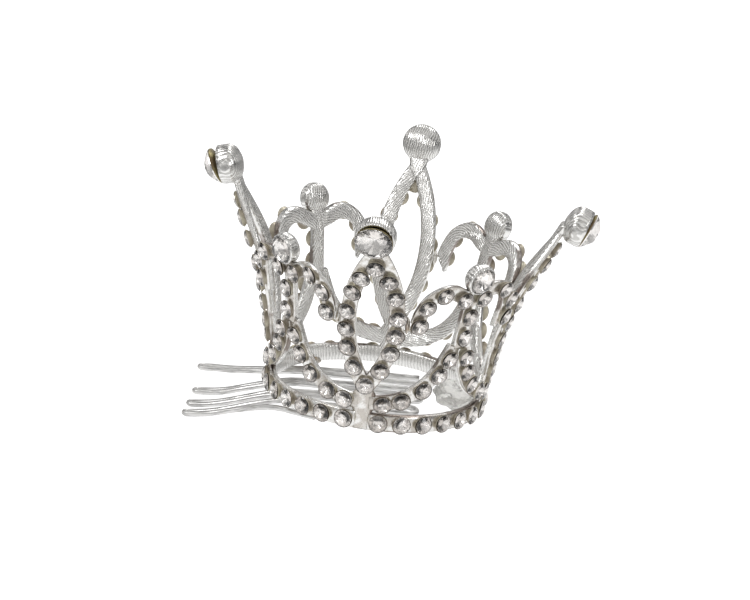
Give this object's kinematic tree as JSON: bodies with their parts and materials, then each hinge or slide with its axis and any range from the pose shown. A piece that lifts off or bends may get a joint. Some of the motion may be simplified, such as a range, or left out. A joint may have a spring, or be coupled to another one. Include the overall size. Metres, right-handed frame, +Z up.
{
  "type": "crown hair comb",
  "caption": "Small open crown with tall and short pointed loops set with clear stones, soldered to a wire hair comb.",
  "frame": {"origin": "centre of the crown's ring, in the plane of the ring's base", "axes": "+Z up the crown's axis, -Y towards the front tall point, -X along the comb's teeth"},
  "size_m": [0.0668, 0.066, 0.0462],
  "materials": {
    "silver": "bright silver plate over cast metal, brushed inside",
    "small_crystal": "clear faceted pave stones with foil backs",
    "large_crystal": "clear domed faceted stones with foil backs",
    "solder": "soft solder with brown flux residue",
    "comb_wire": "drawn plated wire",
    "adhesive": "clear set adhesive"
  },
  "bodies": {
    "root": {"tall_point_front": "silver", "tall_stones_front": "small_crystal", "tall_gem_front": "large_crystal", "tall_point_right": "silver", "tall_stones_right": "small_crystal", "tall_gem_right": "large_crystal", "tall_point_back": "silver", "tall_stones_back": "small_crystal", "tall_gem_back": "large_crystal", "tall_point_left": "silver", "tall_stones_left": "small_crystal", "tall_gem_left": "large_crystal", "band_front_right": "silver", "band_stones_front_right": "small_crystal", "short_point_front_right": "silver", "short_stones_front_right": "small_crystal", "short_gem_front_right": "large_crystal", "curl_solder_front_right_a": "solder", "curl_solder_front_right_b": "solder", "band_back_right": "silver", "band_stones_back_right": "small_crystal", "short_point_back_right": "silver", "short_stones_back_right": "small_crystal", "short_gem_back_right": "large_crystal", "curl_solder_back_right_a": "solder", "curl_solder_back_right_b": "solder", "band_back_left": "silver", "band_stones_back_left": "small_crystal", "short_point_back_left": "silver", "short_stones_back_left": "small_crystal", "short_gem_back_left": "large_crystal", "curl_solder_back_left_a": "solder", "curl_solder_back_left_b": "solder", "band_front_left": "silver", "band_stones_front_left": "small_crystal", "short_point_front_left": "silver", "short_stones_front_left": "small_crystal", "short_gem_front_left": "large_crystal", "curl_solder_front_left_a": "solder", "curl_solder_front_left_b": "solder", "comb_wire": "comb_wire", "comb_solder_front": "solder", "comb_solder_back": "solder", "adhesive_bead": "adhesive"}
  },
  "joints": []
}
